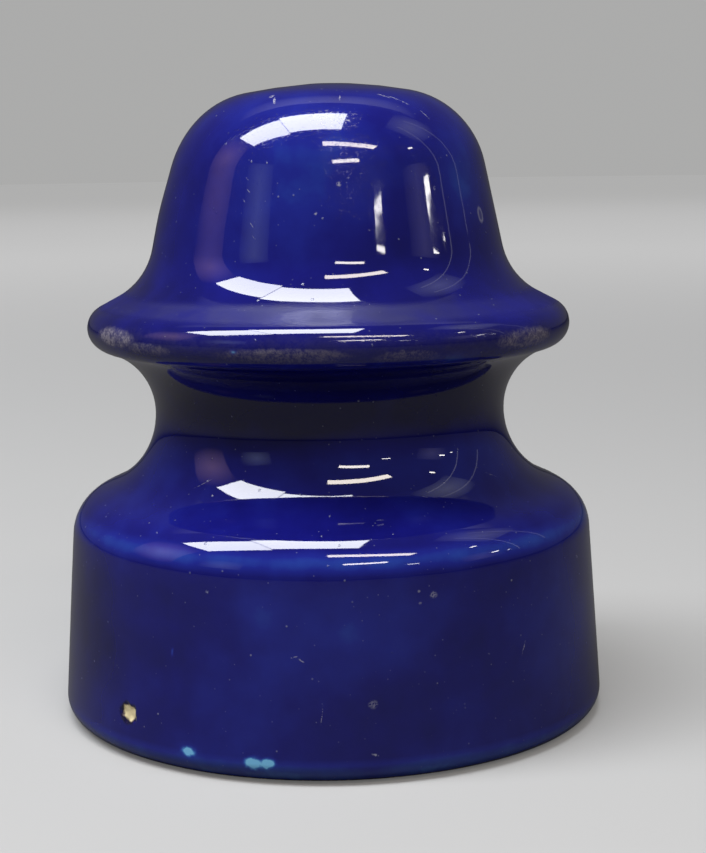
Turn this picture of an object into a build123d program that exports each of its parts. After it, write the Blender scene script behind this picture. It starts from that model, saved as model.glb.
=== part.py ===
"""Porcelain pin insulator with a tall domed crown, one side groove and one wide skirt.

The insulator is one solid of revolution about +Z, turned and fired in one piece. It stands on
the rim of its skirt at z = 0 and is hollow underneath: a ring-shaped hollow parts the outer
skirt from a shorter inner petticoat, and a threaded hole takes the wooden or metal pin.
Lengths are in millimetres and angles in degrees.
"""
import os
from math import atan2, cos, degrees, radians, sin, sqrt, tan

from build123d import *

# Skirt, from the resting rim up to its shoulder
rim_radius = 44.65          # where the skirt's side meets the resting plane, edge not rounded
rim_edge_radius = 3.0       # outer edge of the rim
skirt_taper = 4.0           # lean of the skirt's side towards the axis
shoulder_edge_radius = 7.5  # turn from the skirt's side to its sloping top
shoulder_slope = 25.0       # fall of the skirt's top, below the horizontal

# Wire groove round the waist
skirt_overhang = 16.05      # reach of the skirt beyond the narrowest part of the waist
throat_height = 49.2        # height of that narrowest part
groove_lower_radius = 13.2  # section below the throat
groove_upper_radius = 10.9  # section above the throat, up to the underside of the brim

# Brim over the groove
brim_overhang = 10.55       # reach of the brim beyond the waist
brim_edge_radius = 3.6      # half the thickness of the rolled edge
brim_slope = 28.0           # fall of the brim's top, below the horizontal

# Domed crown
total_height = 101.6
crown_setback = 9.65        # from the brim's edge in to where the crown's side meets its top
crown_foot_fillet = 11.5    # sweep between that side and the brim's top
crown_taper = 12.0          # lean of the crown's side towards the axis
crown_edge_radius = 15.0    # turn from the crown's side to its top
dome_rise = 3.8             # bulge of the top above the corner that this turn rounds off

# Hollow between the outer skirt and the inner petticoat
skirt_wall = 8.0            # thickness of the skirt at its rim
hollow_mouth_width = 13.0   # between the lower ends of skirt and petticoat
rim_inner_edge_radius = 2.5
hollow_depth = 27.0
hollow_draft = 3.0          # lean of both side walls of the hollow, wider at its mouth
hollow_corner_radius = 4.0

# Inner petticoat, shorter than the skirt
petticoat_recess = 8.0      # height of its lower end above the resting plane
petticoat_edge_radius = 2.5

# Threaded hole for a one-inch pin, four turns to the inch
pin_hole_radius = 12.7      # crests of the thread
thread_pitch = 6.35
thread_groove_radius = 1.45  # round section of the groove, centred on the crests
mouth_flare = 3.2           # widening of the mouth beyond the crests
mouth_height = 5.0          # height of the flare
thread_height = 45.0        # straight wall that carries the thread
hole_end_radius = 9.0       # rounding of the blind end
hole_end_height = 9.5       # depth of the blind end beyond the thread



def point_on(center, radius, angle):
    """Point on a circle, the angle counted from +X towards +Z."""
    return (center[0] + radius * cos(radians(angle)), center[1] + radius * sin(radians(angle)))


def corner(section, place):
    """The vertex of a section nearest to a place given as (radius, height)."""
    return section.vertices().sort_by_distance(Vector(*place))[0]



# Groove and brim edge: arcs that touch one another without a corner
throat_radius = rim_radius - skirt_overhang
brim_radius = throat_radius + brim_overhang
groove_low_center = (throat_radius + groove_lower_radius, throat_height)
groove_top_center = (throat_radius + groove_upper_radius, throat_height)
brim_center_radius = brim_radius - brim_edge_radius
centers_apart = groove_upper_radius + brim_edge_radius
brim_offset = groove_top_center[0] - brim_center_radius
brim_center = (brim_center_radius, throat_height + sqrt(centers_apart**2 - brim_offset**2))
groove_end_angle = degrees(
    atan2(brim_center[1] - groove_top_center[1], brim_center[0] - groove_top_center[0])
)

# Shoulder: the skirt's side and top, each a straight line, meet at a corner
shoulder_end = point_on(groove_low_center, groove_lower_radius, 270 - shoulder_slope)
side_lean, top_fall = tan(radians(skirt_taper)), tan(radians(shoulder_slope))
shoulder_corner_height = (
    shoulder_end[1] - (rim_radius - shoulder_end[0]) * top_fall
) / (1 - side_lean * top_fall)
shoulder_corner = (rim_radius - shoulder_corner_height * side_lean, shoulder_corner_height)

# Crown: its side rises from the brim's top and meets the dome at a corner
crown_foot_radius = brim_radius - crown_setback
brim_top_end = point_on(brim_center, brim_edge_radius, 90 - brim_slope)
crown_foot = (
    crown_foot_radius,
    brim_top_end[1] + (brim_top_end[0] - crown_foot_radius) * tan(radians(brim_slope)),
)
crown_corner_height = total_height - dome_rise
crown_corner = (
    crown_foot[0] - (crown_corner_height - crown_foot[1]) * tan(radians(crown_taper)),
    crown_corner_height,
)
dome_radius = (crown_corner[0] ** 2 + dome_rise**2) / (2 * dome_rise)
dome_start_angle = degrees(atan2(dome_radius - dome_rise, crown_corner[0]))

# Underside
hollow_lean = tan(radians(hollow_draft))
rim_inner_radius = rim_radius - skirt_wall
hollow_outer_top = (rim_inner_radius - hollow_depth * hollow_lean, hollow_depth)
petticoat_radius = rim_inner_radius - hollow_mouth_width
hollow_inner_top = (
    petticoat_radius + (hollow_depth - petticoat_recess) * hollow_lean,
    hollow_depth,
)
mouth_radius = pin_hole_radius + mouth_flare
thread_start = petticoat_recess + mouth_height
thread_end = thread_start + thread_height
hole_end = thread_end + hole_end_height

with BuildPart() as porcelain_body:
    with BuildSketch(Plane.XZ) as half_section:
        with BuildLine():
            # outside, from the rim to the top of the crown
            Line((rim_radius, 0), shoulder_corner)
            Line(shoulder_corner, shoulder_end)
            CenterArc(groove_low_center, groove_lower_radius, 270 - shoulder_slope, shoulder_slope - 90)
            CenterArc(groove_top_center, groove_upper_radius, 180, groove_end_angle - 180)
            CenterArc(
                brim_center,
                brim_edge_radius,
                groove_end_angle - 180,
                270 - groove_end_angle - brim_slope,
            )
            Line(brim_top_end, crown_foot)
            Line(crown_foot, crown_corner)
            CenterArc(
                (0, total_height - dome_radius), dome_radius, dome_start_angle, 90 - dome_start_angle
            )
            # down the axis to the blind end of the hole, then the underside out to the rim
            Polyline(
                (0, total_height),
                (0, hole_end),
                (pin_hole_radius, hole_end),
                (pin_hole_radius, thread_start),
                (mouth_radius, petticoat_recess),
                (petticoat_radius, petticoat_recess),
                hollow_inner_top,
                hollow_outer_top,
                (rim_inner_radius, 0),
                (rim_radius, 0),
            )
        make_face()
        fillet(corner(half_section, (rim_radius, 0)), rim_edge_radius)
        fillet(corner(half_section, shoulder_corner), shoulder_edge_radius)
        fillet(corner(half_section, crown_foot), crown_foot_fillet)
        fillet(corner(half_section, crown_corner), crown_edge_radius)
        fillet(corner(half_section, (pin_hole_radius, hole_end)), hole_end_radius)
        fillet(corner(half_section, (petticoat_radius, petticoat_recess)), petticoat_edge_radius)
        fillet(corner(half_section, hollow_inner_top), hollow_corner_radius)
        fillet(corner(half_section, hollow_outer_top), hollow_corner_radius)
        fillet(corner(half_section, (rim_inner_radius, 0)), rim_inner_edge_radius)
    revolve(axis=Axis.Z)

    # Rounded thread: one groove that starts in the flare of the mouth and ends in a round pocket
    helix_start = thread_start - thread_pitch / 2
    helix_end = thread_end - thread_groove_radius
    with BuildLine() as thread_path:
        Helix(
            pitch=thread_pitch,
            height=helix_end - helix_start,
            radius=pin_hole_radius,
            center=(0, 0, helix_start),
        )
    path = thread_path.line
    with BuildSketch(Plane(origin=path @ 0, z_dir=path % 0)):
        Circle(thread_groove_radius)
    sweep(path=path, is_frenet=True, mode=Mode.SUBTRACT)
    with Locations(path @ 1):
        Sphere(thread_groove_radius, mode=Mode.SUBTRACT)

porcelain_body.part.label = "porcelain_body"

os.makedirs("parts", exist_ok=True)
export_step(porcelain_body.part, "parts/porcelain_body.step")
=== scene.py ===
from math import atan2, cos, hypot, pi, radians, sin, sqrt, tan

import bpy
from mathutils import Matrix, Vector


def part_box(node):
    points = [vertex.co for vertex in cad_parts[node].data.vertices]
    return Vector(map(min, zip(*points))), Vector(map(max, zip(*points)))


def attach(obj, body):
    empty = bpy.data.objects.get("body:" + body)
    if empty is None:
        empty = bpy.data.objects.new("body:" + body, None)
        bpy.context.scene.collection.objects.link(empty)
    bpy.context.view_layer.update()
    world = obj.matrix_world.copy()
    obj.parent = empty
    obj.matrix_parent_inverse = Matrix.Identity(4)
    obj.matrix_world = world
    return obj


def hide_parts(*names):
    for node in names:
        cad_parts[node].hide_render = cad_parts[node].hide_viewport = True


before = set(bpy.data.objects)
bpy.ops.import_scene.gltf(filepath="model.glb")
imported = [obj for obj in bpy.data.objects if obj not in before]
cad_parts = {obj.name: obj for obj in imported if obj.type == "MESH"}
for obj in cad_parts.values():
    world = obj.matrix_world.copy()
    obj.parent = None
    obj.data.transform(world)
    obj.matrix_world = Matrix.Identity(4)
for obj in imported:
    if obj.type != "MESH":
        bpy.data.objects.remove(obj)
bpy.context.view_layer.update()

# ---------------------------------------------------------------------------
# Porcelain body
# One piece of wet-process porcelain: pressed, turned on a lathe, dipped in a
# cobalt glaze and fired standing on its bare rim. Its half section is walked
# corner by corner and spun round the axis.
# ---------------------------------------------------------------------------
mm = 0.001
low_corner, high_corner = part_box("porcelain_body")
height = high_corner[2] - low_corner[2]

rim_radius = 44.65 * mm
rim_edge = 3.0 * mm
skirt_taper = radians(4.0)
shoulder_edge = 7.5 * mm
shoulder_slope = radians(25.0)
throat_radius = 28.6 * mm
throat_height = 49.2 * mm
groove_lower = 13.2 * mm
groove_upper = 10.9 * mm
brim_radius = 39.15 * mm
brim_edge = 3.6 * mm
brim_slope = radians(28.0)
crown_foot_radius = 29.5 * mm
crown_foot_sweep = 11.5 * mm
crown_taper = radians(12.0)
crown_edge = 15.0 * mm
dome_rise = 3.8 * mm
skirt_wall = 8.0 * mm
rim_inner_edge = 2.5 * mm
hollow_depth = 27.0 * mm
hollow_draft = radians(3.0)
hollow_corner = 4.0 * mm
petticoat_recess = 8.0 * mm
petticoat_radius = 23.65 * mm
petticoat_edge = 2.5 * mm
pin_hole_radius = 12.7 * mm
thread_pitch = 6.35 * mm
thread_groove = 1.45 * mm
mouth_flare = 3.2 * mm
thread_start = 13.0 * mm
thread_end = 58.0 * mm
hole_end = 67.5 * mm
hole_end_round = 9.0 * mm

# the straight lines of the half section, each as a point and a direction (radius, height)
brim_center_radius = brim_radius - brim_edge
groove_center_radius = throat_radius + groove_upper
brim_height = throat_height + sqrt(
    (groove_upper + brim_edge) ** 2 - (groove_center_radius - brim_center_radius) ** 2
)
underside_turn = atan2(brim_height - throat_height, brim_center_radius - groove_center_radius)
underside_point = (
    groove_center_radius + groove_upper * cos(underside_turn),
    throat_height + groove_upper * sin(underside_turn),
)
brim_top = (
    brim_center_radius + brim_edge * sin(brim_slope),
    brim_height + brim_edge * cos(brim_slope),
)
shoulder_foot = (
    throat_radius + groove_lower - groove_lower * sin(shoulder_slope),
    throat_height - groove_lower * cos(shoulder_slope),
)
crown_foot = (
    crown_foot_radius,
    brim_top[1] + (brim_top[0] - crown_foot_radius) * tan(brim_slope),
)
crown_side = (crown_foot, (-sin(crown_taper), cos(crown_taper)))
brim_side = ((brim_radius, brim_height), (0, 1))
brim_fall = (brim_top, (cos(brim_slope), -sin(brim_slope)))
underside = (underside_point, (sin(underside_turn), -cos(underside_turn)))
throat = ((throat_radius, throat_height), (0, 1))
shoulder_fall = (shoulder_foot, (cos(shoulder_slope), -sin(shoulder_slope)))
skirt_side = ((rim_radius, 0), (-sin(skirt_taper), cos(skirt_taper)))
resting_plane = ((0, 0), (1, 0))


def meet(first, second):
    """Point where two lines of the section cross."""
    (ax, az), (ux, uz) = first
    (bx, bz), (vx, vz) = second
    along = ((bx - ax) * vz - (bz - az) * vx) / (ux * vz - uz * vx)
    return (ax + along * ux, az + along * uz)


# dome and crown edge: two arcs that run into one another
dome_corner = height - dome_rise
dome_corner_radius = crown_foot[0] - (dome_corner - crown_foot[1]) * tan(crown_taper)
dome_radius = (dome_corner_radius**2 + dome_rise**2) / (2 * dome_rise)
dome_center = height - dome_radius
inset = Vector((crown_foot[0], crown_foot[1])) + crown_edge * Vector(
    (-cos(crown_taper), -sin(crown_taper))
)
up_side = Vector((-sin(crown_taper), cos(crown_taper)))
from_dome = inset - Vector((0, dome_center))
slide = -up_side.dot(from_dome) + sqrt(
    up_side.dot(from_dome) ** 2 - from_dome.length_squared + (dome_radius - crown_edge) ** 2
)
edge_center = inset + slide * up_side
dome_half_angle = atan2(edge_center.x, edge_center.y - dome_center)

# how finely the section is walked and how many times it is repeated round the axis
row_step = 1.8 * mm
thread_step = 0.37 * mm
turn_step = radians(4.5)
columns = 192
touching = 0.01 * mm

bpy.ops.object.select_all(action="DESELECT")
bpy.ops.mesh.primitive_plane_add(size=2 * mm, location=(0, 0, height))
body = bpy.context.object
body.name = "porcelain_glazed"
bpy.ops.object.transform_apply(location=True)
bpy.ops.object.mode_set(mode="EDIT")
bpy.ops.mesh.select_mode(type="VERT")
bpy.ops.mesh.merge(type="CENTER")
here = [0.0, height]


def straight_to(point, step=row_step):
    """Extrude the section in a straight line, in short even steps."""
    run = Vector(point) - Vector(here)
    if run.length < touching:
        return
    steps = max(1, round(run.length / step))
    for _ in range(steps):
        bpy.ops.mesh.extrude_region_move(
            TRANSFORM_OT_translate={"value": (run.x / steps, 0, run.y / steps)}
        )
    here[:] = point


def round_about(center, turn):
    """Spin the end of the section round a centre. A positive turn is clockwise from outside."""
    arm = Vector(here) - Vector(center)
    steps = max(3, round(abs(turn) / turn_step))
    bpy.ops.mesh.spin(
        steps=steps, angle=-turn, center=(center[0], 0, center[1]), axis=(0, 1, 0)
    )
    new = Matrix.Rotation(-turn, 2) @ arm
    here[:] = (center[0] + new.x, center[1] + new.y)


def rounded_corner(corner, beyond, radius, step=row_step):
    """Run up to a corner and round it off on the way to the point beyond it."""
    back = (Vector(here) - Vector(corner)).normalized()
    ahead = (Vector(beyond) - Vector(corner)).normalized()
    angle = back.angle(ahead)
    straight_to(Vector(corner) + back * radius / tan(angle / 2), step)
    middle = (back + ahead).normalized()
    center = Vector(corner) + middle * radius / sin(angle / 2)
    turned_left = back.x * ahead.y - back.y * ahead.x > 0
    round_about(center, (pi - angle) * (1 if turned_left else -1))


round_about((0, dome_center), dome_half_angle)
round_about(edge_center, pi / 2 - crown_taper - dome_half_angle)
outer_corners = [
    (meet(crown_side, brim_fall), crown_foot_sweep),
    (meet(brim_fall, brim_side), brim_edge),
    (meet(brim_side, underside), brim_edge),
    (meet(underside, throat), groove_upper),
    (meet(throat, shoulder_fall), groove_lower),
    (meet(shoulder_fall, skirt_side), shoulder_edge),
    (meet(skirt_side, resting_plane), rim_edge),
]
rim_inner = (rim_radius - skirt_wall, 0)
hollow_lean = tan(hollow_draft)
hollow_corners = [
    (rim_inner, rim_inner_edge),
    ((rim_inner[0] - hollow_depth * hollow_lean, hollow_depth), hollow_corner),
    (
        (petticoat_radius + (hollow_depth - petticoat_recess) * hollow_lean, hollow_depth),
        hollow_corner,
    ),
    ((petticoat_radius, petticoat_recess), petticoat_edge),
]
mouth = (pin_hole_radius + mouth_flare, petticoat_recess)
walk = outer_corners + hollow_corners + [(mouth, 0)]
for (corner, radius), (beyond, _) in zip(walk, walk[1:]):
    rounded_corner(corner, beyond, radius)
straight_to(mouth)
straight_to((pin_hole_radius, thread_start))
straight_to((pin_hole_radius, thread_end), thread_step)
rounded_corner((pin_hole_radius, hole_end), (0, hole_end), hole_end_round)
straight_to((0, hole_end))

bpy.ops.mesh.select_all(action="SELECT")
bpy.ops.mesh.spin(steps=columns, angle=2 * pi, center=(0, 0, 0), axis=(0, 0, 1))
bpy.ops.mesh.select_all(action="SELECT")
bpy.ops.mesh.remove_doubles(threshold=touching)
bpy.ops.mesh.normals_make_consistent(inside=False)
bpy.ops.mesh.select_all(action="DESELECT")
bpy.ops.mesh.select_mode(type="FACE")
bpy.ops.object.mode_set(mode="OBJECT")

# the thread: one right-hand groove of half-round section, cut into the wall of the pin hole
groove_from = thread_start - thread_pitch / 2
groove_to = thread_end - thread_groove
wall_slack = 0.05 * mm
for vertex in body.data.vertices:
    x, y, z = vertex.co
    around = hypot(x, y)
    if abs(around - pin_hole_radius) > wall_slack or not thread_start <= z <= thread_end:
        continue
    turns = (z - groove_from) / thread_pitch - atan2(y, x) / (2 * pi)
    off = (turns - round(turns)) * thread_pitch
    center_height = z - off
    if not groove_from <= center_height <= groove_to:
        off = hypot(off, max(0, center_height - groove_to))
    depth = sqrt(max(0.0, thread_groove**2 - off**2))
    vertex.co.x += depth * x / around
    vertex.co.y += depth * y / around

# the chip low on the skirt: finer faces, laid on the cone of the wall, then a shallow hollow
chip_azimuth = -45  # in degrees round from the front, which is the side of -Y
chip_height = 7.5 * mm
chip_width, chip_tall, chip_depth = 3.8 * mm, 3.0 * mm, 0.35 * mm
chip_corners, corner_size, corner_turn = 5, 0.16, 1.3
bowl_power = 0.6  # under 1, so that the hollow is flat in its middle and steep at its edge
fine_patch, fine_cuts = 3.6 * mm, 7
chip_turn = radians(chip_azimuth)
chip_center = Vector((rim_radius * sin(chip_turn), -rim_radius * cos(chip_turn), chip_height))
for polygon in body.data.polygons:
    polygon.select = (polygon.center - chip_center).length < fine_patch
bpy.ops.object.mode_set(mode="EDIT")
bpy.ops.mesh.subdivide(number_cuts=fine_cuts)
bpy.ops.object.mode_set(mode="OBJECT")
laid_patch = 4 * mm
above_rim_edge = 1.2 * rim_edge
for vertex in body.data.vertices:
    x, y, z = vertex.co
    inside_wall = hypot(x, y) < rim_radius - 2 * mm
    if (vertex.co - chip_center).length > laid_patch or inside_wall or z < above_rim_edge:
        continue
    along, up = (atan2(x, -y) - chip_turn) * rim_radius, z - chip_height
    reach = hypot(along / (chip_width / 2), up / (chip_tall / 2))
    reach += corner_size * sin(chip_corners * atan2(up, along) + corner_turn)
    wall = rim_radius - z * tan(skirt_taper) - chip_depth * max(0, 1 - reach**2) ** bowl_power
    vertex.co.x, vertex.co.y = wall * x / hypot(x, y), wall * y / hypot(x, y)

# the crown was pressed a little flatter on its left shoulder before it was fired
dent_height, dent_reach, dent_depth = 94.5 * mm, 15 * mm, 0.9 * mm
dent_drop = 0.35  # how far the wall sinks for each millimetre that it goes in
crown_from, round_the_axis = 70 * mm, 2 * mm
for vertex in body.data.vertices:
    x, y, z = vertex.co
    if z < crown_from or hypot(x, y) < round_the_axis:
        continue
    side = max(0.0, -x / hypot(x, y)) ** 2
    dent = dent_depth * side * max(0.0, 1 - ((z - dent_height) / dent_reach) ** 2) ** 2
    vertex.co.x -= dent * x / hypot(x, y)
    vertex.co.z -= dent_drop * dent

bpy.ops.object.shade_smooth_by_angle(angle=radians(50))

# hand-turned surface: the wall wanders inwards, nowhere by more than 0.15 mm
wander = bpy.data.textures.new("turning_wander", "CLOUDS")
wander.noise_scale = 28 * mm
wander.noise_depth = 2
press = body.modifiers.new("turning_wander", "DISPLACE")
press.texture = wander
press.texture_coords = "LOCAL"
press.mid_level = 1.0
press.strength = 0.15 * mm
bpy.ops.object.modifier_apply(modifier=press.name)


class Signal:
    """A shader socket that can be used in sums like a number."""

    def __init__(self, made_in, socket):
        self.made_in, self.socket = made_in, socket

    def _math(self, operation, *values):
        return self.made_in.node("ShaderNodeMath", {"operation": operation}, values)

    def __add__(self, other):
        return self._math("ADD", self, other)

    __radd__ = __add__

    def __sub__(self, other):
        return self._math("SUBTRACT", self, other)

    def __rsub__(self, other):
        return self._math("SUBTRACT", other, self)

    def __mul__(self, other):
        return self._math("MULTIPLY", self, other)

    __rmul__ = __mul__

    def __truediv__(self, other):
        return self._math("DIVIDE", self, other)

    def __pow__(self, other):
        return self._math("POWER", self, other)

    def at_least(self, other):
        """The larger of this and another."""
        return self._math("MAXIMUM", self, other)

    def between(self, low, high):
        """Rises smoothly from 0 at low to 1 at high."""
        return self.made_in.node(
            "ShaderNodeMapRange",
            {"interpolation_type": "SMOOTHSTEP"},
            {"Value": self, "From Min": low, "From Max": high},
        )


class Recipe:
    """A material or a world, and the nodes that make it."""

    def __init__(self, owner, shader="Principled BSDF"):
        self.owner = owner
        owner.use_nodes = True
        self.tree = owner.node_tree
        self.shader = self.tree.nodes[shader]

    def node(self, kind, settings=None, values=(), output=0):
        """A new node with its settings made and its sockets fed. Gives one of its outputs."""
        made = self.tree.nodes.new(kind)
        for key, value in (settings or {}).items():
            if key == "stops":
                ramp = made.color_ramp
                while len(ramp.elements) < len(value):
                    ramp.elements.new(0.5)
                for element, (place, colour) in zip(ramp.elements, value):
                    element.position, element.color = place, (*colour, 1.0)
            else:
                setattr(made, key, value)
        named = values.items() if isinstance(values, dict) else enumerate(values)
        for socket_name, value in named:
            self.feed(made.inputs[socket_name], value)
        return Signal(self, made.outputs[output])

    def feed(self, socket, value):
        """Link a signal to a socket, or set the socket to a number, a vector or a colour."""
        if isinstance(value, Signal):
            self.tree.links.new(value.socket, socket)
        elif isinstance(value, tuple) and len(value) == 3 and socket.type == "RGBA":
            socket.default_value = (*value, 1.0)
        else:
            socket.default_value = value

    def place(self):
        """Object coordinates as a vector and as x, y and z."""
        spot = self.node("ShaderNodeTexCoord", output="Object")
        split = self.node("ShaderNodeSeparateXYZ", values=[spot]).socket.node
        return spot, *(Signal(self, axis) for axis in split.outputs)

    def noise(self, spot, scale, detail, roughness, stretch=None):
        """Cloudy noise from 0 to 1. A larger scale makes it finer."""
        if stretch:
            spot = self.node("ShaderNodeMapping", values={"Vector": spot, "Scale": stretch})
        values = {"Vector": spot, "Scale": scale, "Detail": detail, "Roughness": roughness}
        return self.node("ShaderNodeTexNoise", values=values)

    def shaken(self, spot, shake, reach):
        """A place moved by up to half the reach each way, by a noise's colour."""
        wide = {0: shake, 1: (reach,) * 3, 2: spot}
        moved = self.node("ShaderNodeVectorMath", {"operation": "MULTIPLY_ADD"}, wide)
        back = {0: moved, 1: (reach / 2,) * 3}
        return self.node("ShaderNodeVectorMath", {"operation": "SUBTRACT"}, back)

    def blend(self, share, low, high):
        """Mix two colours."""
        values = {0: share, 6: low, 7: high}
        return self.node("ShaderNodeMix", {"data_type": "RGBA"}, values, output=2)

    def mark(
        self, spot, azimuth, tall, radius, width, height, tilt=0, depth=3.0, strength=1.0, core=0.55
    ):
        """The strength inside an oval mark on the wall, falling to 0 outside its core.

        The mark's middle is given by its azimuth round from the front, its height and the radius
        of the wall there, in degrees and millimetres. The core is a share of its size.
        """
        turned = radians(azimuth)
        local = self.node(
            "ShaderNodeMapping",
            {"vector_type": "TEXTURE"},
            {
                "Vector": spot,
                "Location": (radius * sin(turned) * mm, -radius * cos(turned) * mm, tall * mm),
                "Rotation": (0, radians(tilt), turned),
                "Scale": (width / 2 * mm, depth / 2 * mm, height / 2 * mm),
            },
        )
        reach = self.node(
            "ShaderNodeVectorMath", {"operation": "LENGTH"}, {0: local}, output="Value"
        )
        return self.node(
            "ShaderNodeMapRange",
            {"interpolation_type": "SMOOTHSTEP"},
            {"Value": reach, "From Min": core, "From Max": 1.0, "To Min": strength, "To Max": 0.0},
        )


glaze = Recipe(bpy.data.materials.new("cobalt_glaze"))
spot, x, y, z = glaze.place()
around = (x * x + y * y) ** 0.5

# ragged outlines: the place is shaken by a fine noise before the marks are laid out
shake = glaze.node(
    "ShaderNodeTexNoise", values={"Vector": spot, "Scale": 900.0, "Detail": 2.0}, output="Color"
)
shaken = glaze.shaken(spot, shake, 0.9 * mm)
jarred = glaze.shaken(spot, shake, 0.25 * mm)


def level_band(middle, half_width):
    """A soft band round the body at one height, from 1 in its middle to 0 at its borders."""
    return (1 - ((z - middle * mm) / (half_width * mm)) ** 2).at_least(0)


def past(start, full):
    """Rises from 0 at one distance from the axis to 1 at another."""
    return around.between(start * mm, full * mm)


# glaze thickness, which also carries painted shade and a painted reflection: near 1 where it
# pooled, less where it ran thin over an edge, near 0 in drops
cloud = glaze.noise(spot, 42.0, 3.0, 0.55)
mottle = glaze.noise(spot, 170.0, 3.0, 0.6)
grain = glaze.noise(spot, 1300.0, 3.0, 0.65)
fine_grain = glaze.noise(spot, 3400.0, 2.0, 0.6)
glaze_depth_and_painted_light = 0.26 + cloud * 0.58 + mottle * 0.26

# thinner over the skirt's shoulder, the foot, the brim's lower edge and the foot of the groove
glaze_depth_and_painted_light -= level_band(33.4, 2.8) * past(40.4, 42.0) * (0.16 + cloud * 0.38)
glaze_depth_and_painted_light -= level_band(1.5, 2.6) * past(41, 43) * (0.16 + cloud * 0.40)
glaze_depth_and_painted_light -= level_band(60.7, 1.8) * past(34, 38) * mottle.between(0.42, 0.62) * 0.22
glaze_depth_and_painted_light -= level_band(44.5, 5.5) * (1 - past(33, 36)) * 0.12

# thicker above the brim, where the run of the glaze was held up; the throat under the brim is
# darkened to nearly black, which is painted shade
glaze_depth_and_painted_light += level_band(69.0, 9.0) * past(28, 32) * 0.16
# painted shade: the throat under the brim, darkened as if its glaze were thick
glaze_depth_and_painted_light += level_band(56.0, 11.0) * (1 - past(32, 38)) * 0.34

thin_places_and_painted_light = [
    # azimuth, height, radius, width, height, strength, depth
    # turquoise drops round the foot and thin spots on the brim
    (-29.3, 3.9, 44.4, 4.0, 2.1, 0.58, 3.0),
    (-15.8, 3.4, 44.4, 3.5, 2.8, 0.62, 3.0),
    (-12.7, 3.5, 44.4, 3.2, 2.4, 0.62, 3.0),
    (-14.4, 3.4, 44.4, 7.0, 3.2, 0.18, 4.0),
    (-29.3, 4.0, 44.4, 6.4, 3.6, 0.16, 4.0),
    (-20.6, 62.6, 39.1, 1.7, 1.5, 0.60, 3.0),
    (-33.4, 18.2, 43.4, 1.0, 1.6, 0.46, 3.0),
    (27.0, 60.9, 38.3, 13.0, 3.0, 0.26, 6.0),
    (-55.0, 61.3, 38.6, 11.0, 3.0, 0.20, 6.0),
    (82.0, 3.9, 44.4, 3.2, 1.8, 0.62, 3.0),
    (147.0, 4.4, 44.4, 4.4, 2.2, 0.64, 3.0),
    (-160.0, 3.2, 44.4, 2.8, 1.9, 0.62, 3.0),
    # broad lighter clouds on the skirt and crown, a darker cloud on the skirt's left that is
    # painted shade, and a pale patch low on the skirt's front that is a painted reflection
    (-6.0, 88.0, 26.0, 42.0, 34.0, 0.31, 28.0),
    # painted shade: the skirt's left side is darkened, where less light falls on it
    (-66.0, 18.0, 43.5, 42.0, 46.0, -0.28, 32.0),
    # painted reflection: a soft pale patch low on the skirt's front
    (-14.5, 25.0, 43.3, 11.0, 17.0, 0.12, 6.0),
    (-30.0, 98.0, 18.0, 26.0, 12.0, 0.10, 20.0),
    (52.0, 87.0, 26.0, 24.0, 28.0, 0.24, 20.0),
    (4.0, 23.0, 43.4, 48.0, 26.0, 0.20, 26.0),
    (54.0, 17.0, 43.4, 38.0, 36.0, 0.24, 28.0),
    (152.0, 20.0, 43.4, 34.0, 16.0, 0.12, 20.0),
    (-128.0, 88.0, 26.0, 26.0, 22.0, 0.14, 22.0),
]
for azimuth, tall, radius, width, height_of, strength, depth in thin_places_and_painted_light:
    glaze_depth_and_painted_light -= glaze.mark(
        shaken, azimuth, tall, radius, width, height_of, depth=depth, strength=strength, core=0.0
    )

# the pin wears the hole and the kiln shelf touches the foot: both stay bare, as the chip is
ragged = (grain - 0.5) * 0.9 * mm
below_hole_end = 1 - z.between(hole_end + 0.5 * mm, hole_end + 1.5 * mm)
in_hole = (1 - (around + ragged).between(16.0 * mm, 16.9 * mm)) * below_hole_end
on_foot = 1 - (z + ragged).between(0.25 * mm, 0.6 * mm)
chip_tall_at, chip_wall = chip_height / mm, 44.4
chip_hollow = glaze.mark(shaken, chip_azimuth, chip_tall_at, chip_wall, 3.7, 2.9, core=0.80)
# painted shade: a dark ring round the chip's hollow, where its broken edge would shade it
chip_shaded_rim = glaze.mark(
    shaken, chip_azimuth - 0.2, chip_tall_at - 0.1, chip_wall, 4.9, 4.0, core=0.72
)
bare = in_hole.at_least(on_foot).at_least(chip_hollow)

# the colour of the glaze at each thickness, from turquoise through cobalt to nearly black; the
# darkest end also gives the painted shade in the throat and on the skirt's left
stops = [
    (0.05, (0.23, 0.64, 1.00)),
    (0.16, (0.070, 0.260, 0.70)),
    (0.30, (0.022, 0.062, 0.39)),
    (0.45, (0.0130, 0.0210, 0.29)),
    (0.68, (0.0080, 0.0088, 0.190)),
    (1.00, (0.0040, 0.0036, 0.075)),
]
cobalt = glaze.node("ShaderNodeValToRGB", {"stops": stops}, [glaze_depth_and_painted_light])

# bare porcelain: soiled where it is old, darker in the hole and clean in the chip
soil = glaze.noise(spot, 260.0, 4.0, 0.65).between(0.40, 0.66)
porcelain = glaze.blend(soil, (0.80, 0.66, 0.40), (0.52, 0.37, 0.18))
porcelain = glaze.blend(in_hole * 0.55, porcelain, (0.34, 0.27, 0.19))
porcelain = glaze.blend(chip_hollow, porcelain, (1.0, 0.86, 0.50))

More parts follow.
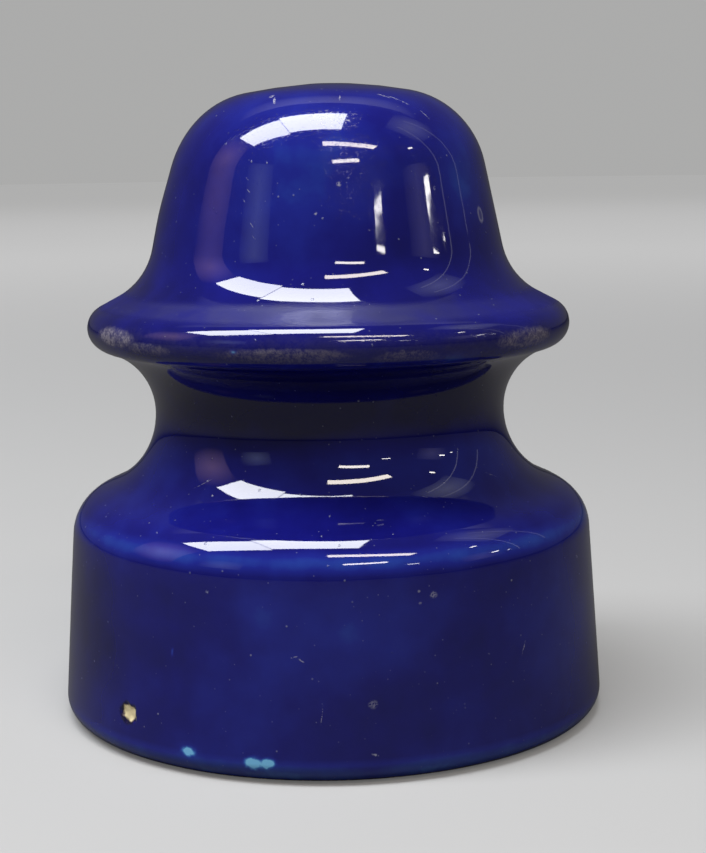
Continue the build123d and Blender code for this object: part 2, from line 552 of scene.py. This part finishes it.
# scuffs where the rolled brim was knocked about, and on the crown, where pale streaky specks are
# also painted glints of scratches catching the light
knocked = level_band(63.2, 2.7) * past(37.6, 38.8)
scuffed_places = [
    # azimuth, height, radius, width, height, strength
    (-57.0, 63.4, 39.1, 14.0, 3.6, 1.00),
    (-44.0, 62.2, 39.1, 12.0, 2.4, 0.60),
    (-10.0, 62.0, 38.9, 26.0, 3.0, 0.62),
    (17.0, 61.5, 38.7, 12.0, 2.6, 0.60),
    (50.0, 62.8, 39.0, 17.0, 3.8, 0.75),
    (110.0, 63.0, 39.1, 18.0, 3.0, 0.45),
    (176.0, 62.6, 39.1, 11.0, 3.4, 0.60),
    (-118.0, 63.3, 39.1, 8.0, 3.2, 0.50),
]
worn = 0.05  # a trace all round
for azimuth, tall, radius, width, height_of, strength in scuffed_places:
    oval = glaze.mark(
        shaken, azimuth, tall, radius, width, height_of, depth=8.0, strength=strength
    )
    worn = oval.at_least(worn)
blotch = (mottle * 0.5 + grain * 0.5).between(0.40, 0.60)
speckle = (grain * 0.35 + fine_grain * 0.65).between(0.40, 0.64)
scuffs_and_glints = knocked * worn * (0.12 + blotch * 0.44 + speckle * 0.44)
streaks = glaze.noise(spot, 2400.0, 2.0, 0.7, stretch=(0.6, 0.6, 1.5)).between(0.56, 0.66)
# painted glints: pale specks near the crown's highlight, as if its scratches caught the light
crown_scuffs_and_glints = glaze.mark(spot, 4, 95.6, 22.0, 9.0, 5.0, depth=6.0) * streaks
scuffs_and_glints = scuffs_and_glints.at_least(crown_scuffs_and_glints * 0.55)

# scratches, pits and specks in the glaze
scratches = [
    # azimuth, height, radius, width, height, tilt, strength
    (-24.8, 98.6, 18.4, 0.45, 2.4, -38, 0.75),
    (-28.5, 99.2, 17.2, 1.0, 0.6, 0, 0.70),
    (7.2, 98.8, 18.1, 0.3, 1.5, 8, 0.55),
    (30.5, 99.1, 17.6, 2.6, 0.3, 22, 0.50),
    (35.5, 98.7, 18.2, 2.4, 0.3, 26, 0.50),
    (39.0, 98.0, 19.4, 1.8, 0.3, 30, 0.45),
    (45.0, 96.2, 21.6, 0.22, 2.6, -24, 0.55),
    (-27.0, 87.0, 25.0, 1.1, 0.28, 40, 0.65),
    (-26.0, 85.2, 25.6, 1.2, 0.26, 42, 0.60),
    (-27.5, 83.8, 25.8, 1.2, 0.26, 44, 0.60),
    (-24.0, 80.2, 26.6, 1.5, 0.26, 48, 0.60),
    (-23.0, 78.4, 27.0, 1.1, 0.24, 44, 0.50),
    (4.1, 86.1, 26.2, 1.1, 1.0, 0, 0.50),
    (-3.4, 81.8, 27.1, 0.7, 0.7, 0, 0.60),
    (38.3, 85.2, 26.4, 0.6, 0.9, 0, 0.45),
    (-25.4, 27.9, 42.7, 0.8, 0.7, 0, 0.45),
    (20.0, 27.3, 42.7, 1.5, 1.3, 0, 0.45),
    (17.0, 28.0, 42.7, 0.6, 0.5, 0, 0.40),
    (17.2, 26.2, 42.7, 0.8, 0.5, 0, 0.35),
    (7.3, 12.0, 43.8, 1.8, 1.6, 0, 0.30),
    (-7.6, 19.1, 43.3, 1.3, 0.25, -14, 0.65),
    (-6.2, 18.6, 43.3, 1.2, 0.3, 30, 0.60),
    (41.0, 17.0, 43.5, 0.22, 2.9, 24, 0.60),
    (-2.4, 10.6, 43.9, 0.18, 3.6, 6, 0.50),
    (7.5, 4.6, 44.3, 1.4, 0.5, 20, 0.55),
    (-38.0, 41.4, 31.6, 4.6, 0.16, -30, 0.45),
    (52.0, 41.0, 31.8, 3.2, 0.16, 24, 0.35),
    (64.0, 27.6, 42.6, 1.2, 0.7, 20, 0.40),
    (133.0, 21.0, 43.2, 0.25, 4.2, 31, 0.50),
    (171.0, 14.0, 43.6, 0.9, 0.8, 0, 0.50),
    (-140.0, 24.0, 43.0, 3.2, 0.22, 12, 0.45),
    (-101.0, 16.0, 43.5, 0.7, 1.0, 0, 0.45),
    (160.0, 88.0, 25.6, 0.24, 3.4, -20, 0.45),
    (-150.0, 81.0, 27.0, 1.0, 0.9, 0, 0.45),
    (98.0, 90.0, 25.2, 1.8, 0.25, 35, 0.45),
]
scratched = 0.0
for azimuth, tall, radius, width, height_of, tilt, strength in scratches:
    oval = glaze.mark(
        jarred, azimuth, tall, radius, width, height_of, tilt, strength=strength, core=0.35
    )
    scratched = oval.at_least(scratched)
scratched *= fine_grain.between(0.42, 0.54) * 1.25

# one burst blister, a pale ring on the crown's right side
blister = glaze.mark(jarred, 61, 80.8, 27.3, 2.1, 3.1)
blister -= glaze.mark(jarred, 61, 80.8, 27.3, 1.3, 2.2, strength=0.8)
scratched = scratched.at_least(blister * 0.55)

# kiln dust: a grain shows only where the middle of a cell of the pattern meets the wall
grains = glaze.node(
    "ShaderNodeTexVoronoi", values={"Vector": spot, "Scale": 330.0}, output="Distance"
)
finer = glaze.node(
    "ShaderNodeTexVoronoi", values={"Vector": spot, "Scale": 610.0}, output="Distance"
)
dust = (1 - grains.between(0.030, 0.065)).at_least((1 - finer.between(0.04, 0.080)) * 0.6)
dust *= (mottle - 0.30).at_least(0) * 1.9

red_smear = glaze.mark(shaken, -43, 100.9, 9.2, 4.6, 2.4, depth=3.4, core=0.0) * blotch * 0.7
layers = [
    # the first layer is the painted shade round the chip
    (chip_shaded_rim * 0.85, (0.010, 0.008, 0.022)),
    (dust, (0.34, 0.36, 0.46)),
    (scuffs_and_glints, (0.34, 0.31, 0.37)),
    (scratched, (0.46, 0.46, 0.56)),
    (red_smear, (0.34, 0.065, 0.035)),
    (bare, porcelain),
]
colour = cobalt
for share, laid_on in layers:
    colour = glaze.blend(share, colour, laid_on)
glaze.feed(glaze.shader.inputs["Base Color"], colour)

# the slope above the brim is rubbed dull, and bare porcelain is duller still
rubbed = z.between(65.8 * mm, 66.9 * mm) * (1 - z.between(68.0 * mm, 69.6 * mm))
dull = scuffs_and_glints.at_least(scratched).at_least(dust) * 0.42 + rubbed * (0.20 + mottle * 0.4)
glossy = 0.022 + cloud * 0.022 + dull
roughness = glossy + bare * (0.72 - glossy)
glaze.feed(glaze.shader.inputs["Roughness"], roughness)
glaze.feed(glaze.shader.inputs["IOR"], 1.55)
glaze.feed(glaze.shader.inputs["Coat Weight"], (1 - bare.at_least(dull * 2)) * 0.6)
glaze.feed(glaze.shader.inputs["Coat Roughness"], 0.03)

# the melt is never quite level, grains of dust stand proud, and the bare clay is coarse
ripple = glaze.noise(spot, 140.0, 2.0, 0.5)
pitted = level_band(90.0, 13.0) * (fine_grain - 0.60).at_least(0)
relief = ripple * 0.030 + pitted * 0.05 + (1 - grains.between(0.045, 0.085)) * 0.02
relief += knocked * (grain - 0.5).at_least(0) * 0.05
relief += in_hole.at_least(on_foot) * grain * 0.10
raised = glaze.node("ShaderNodeBump", values={"Distance": 1 * mm, "Height": relief})
glaze.feed(glaze.shader.inputs["Normal"], raised)

body.data.materials.append(glaze.owner)
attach(body, "root")
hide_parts("porcelain_body")

# ---------------------------------------------------------------------------
# Studio
# A plain pale floor under soft ceiling panels and a broad dim glow from behind,
# with dim cards and a few small lamps round the camera side.
# ---------------------------------------------------------------------------
bpy.ops.object.select_all(action="DESELECT")
bpy.ops.mesh.primitive_circle_add(vertices=128, radius=4.0, fill_type="NGON")
floor = bpy.context.object
floor.name = "studio_floor"

# pale and a little bright of itself where the camera sees it, and dark to the glaze above it
paper = Recipe(bpy.data.materials.new("pale_paper"))
seen = paper.node("ShaderNodeLightPath", output="Is Camera Ray")
_, paper_x, paper_y, _ = paper.place()
far_off = ((paper_x * paper_x + paper_y * paper_y) ** 0.5).between(0.10, 1.30)
paper_colour = paper.blend(seen, (0.09, 0.088, 0.088), (0.42, 0.42, 0.415))
own_shine = paper.blend(far_off, (0.10, 0.10, 0.099), (0.40, 0.40, 0.396))
paper.feed(paper.shader.inputs["Base Color"], paper_colour)
paper.feed(paper.shader.inputs["Roughness"], 0.9)
paper.feed(paper.shader.inputs["Specular IOR Level"], 0.1)
paper.feed(paper.shader.inputs["Emission Color"], paper.blend(seen, (0, 0, 0), own_shine))
paper.feed(paper.shader.inputs["Emission Strength"], 1.0)
floor.data.materials.append(paper.owner)


def lamp(name, place, aim, size, radiance, tint, spread=180):
    """A flat lamp that faces a point. With less spread, in degrees, its edges are softer."""
    bpy.ops.object.light_add(type="AREA", location=place)
    made = bpy.context.object
    made.name = name
    made.rotation_euler = (Vector(aim) - Vector(place)).to_track_quat("-Z", "Y").to_euler()
    made.data.shape = "RECTANGLE"
    made.data.size, made.data.size_y = size
    made.data.energy = radiance * pi * size[0] * size[1]
    made.data.color = tint
    if spread < 180:
        # a narrow lamp gathers its light, so it needs less power for the same brightness
        half_spread = radians(spread) / 2
        made.data.spread = 2 * half_spread
        made.data.energy *= 1 - half_spread / tan(half_spread)


# ceiling panels
ceiling = 0.9
panels = {
    # from and to in x and in y for each metre of the ceiling's height, brightness, tint
    "left_panel": ((-0.95, -0.351), (-0.41, 0.0), 11.0, (0.95, 0.97, 1.0)),
    "right_panel": ((-0.345, 0.15), (-0.36, 0.04), 11.5, (0.95, 0.97, 1.0)),
    "warm_strip": ((-0.03, 0.70), (-0.84, -0.70), 12.0, (1.0, 0.90, 0.78)),
}
for name, ((x_low, x_high), (y_low, y_high), radiance, tint) in panels.items():
    middle = ((x_low + x_high) / 2 * ceiling, (y_low + y_high) / 2 * ceiling)
    size = ((x_high - x_low) * ceiling, (y_high - y_low) * ceiling)
    lamp(name, (*middle, ceiling), (*middle, 0), size, radiance, tint)
behind = 1.25
glow_tint = (0.95, 0.95, 1.0)
lamp("rear_glow", (0, behind, 0.92), (0, behind, 0), (1.8, 1.8), 0.95, glow_tint, spread=84)

# cards and small lamps, all a metre off and turned to the middle of the object
waist = Vector((0, 0, 0.05))
cards = [
    # azimuth round from the front, elevation, size, brightness, tint, spread
    ("left_card", -49, 20, (0.33, 0.26), 0.60, (0.62, 0.74, 1.0), 24),
    ("rosy_card", -84, 27, (0.42, 0.70), 0.80, (1.0, 0.60, 0.68), 38),
    ("right_high_card", 98, 50, (0.42, 0.42), 0.60, (0.88, 0.92, 1.0), 32),
    ("right_low_card", 68, 17, (0.38, 0.20), 0.38, (0.72, 0.66, 1.0), 24),
    ("edge_strip_a", 88, 34, (0.010, 0.80), 0.8, (1.0, 0.97, 1.0), 180),
    ("edge_strip_b", 106, 34, (0.012, 0.80), 0.5, (1.0, 0.97, 1.0), 180),
    ("small_lamp_a", 35.8, 21.7, (0.085, 0.015), 14.0, (1.0, 0.96, 0.92), 180),
    ("small_lamp_b", 75.2, 18.4, (0.070, 0.020), 14.0, (1.0, 0.97, 0.94), 180),
    ("small_lamp_c", 72, 36, (0.060, 0.024), 14.0, (1.0, 0.95, 0.88), 180),
    ("small_lamp_d", 15.5, 31.0, (0.30, 0.052), 13.0, (1.0, 0.93, 0.84), 180),
    ("small_lamp_e", 82.5, 15.6, (0.030, 0.008), 14.0, (1.0, 0.97, 0.94), 180),
]
for name, azimuth, elevation, size, radiance, tint, spread in cards:
    turned, raised_by = radians(azimuth), radians(elevation)
    way = Vector(
        (cos(raised_by) * sin(turned), -cos(raised_by) * cos(turned), sin(raised_by))
    )
    lamp(name, waist + way, waist, size, radiance, tint, spread)

# the air: dim all round, and pale where the camera looks past the floor
air = Recipe(bpy.data.worlds.new("studio_air"), "Background")
bpy.context.scene.world = air.owner
air.feed(air.shader.inputs["Color"], (0.065, 0.063, 0.068))
dim = Signal(air, air.shader.outputs["Background"])
pale = air.node("ShaderNodeBackground", values={"Color": (0.41, 0.41, 0.407)})
looked_at = air.node("ShaderNodeLightPath", output="Is Camera Ray")
either = air.node("ShaderNodeMixShader", values=[looked_at, dim, pale])
air.feed(air.tree.nodes["World Output"].inputs["Surface"], either)

# the camera, with its turns in radians
stand_off = 0.295
camera_height = 0.0926
tilt_down = 0.1574
turn_right = 0.0128
lean = -0.0140
bpy.ops.object.camera_add()
camera = bpy.context.object
camera.data.sensor_fit = "HORIZONTAL"
camera.data.sensor_width = 36.0
camera.data.lens = 92.315
camera.data.clip_start = 0.01
ahead = Vector(
    (sin(turn_right) * cos(tilt_down), cos(turn_right) * cos(tilt_down), -sin(tilt_down))
)
level_right = Vector((cos(turn_right), -sin(turn_right), 0))
level_up = level_right.cross(ahead)
right = cos(lean) * level_right + sin(lean) * level_up
above = -sin(lean) * level_right + cos(lean) * level_up
camera.matrix_world = Matrix.Translation((0, -stand_off, camera_height)) @ Matrix(
    (right, above, -ahead)
).transposed().to_4x4()
bpy.context.scene.camera = camera
bpy.context.scene.view_settings.view_transform = "Standard"
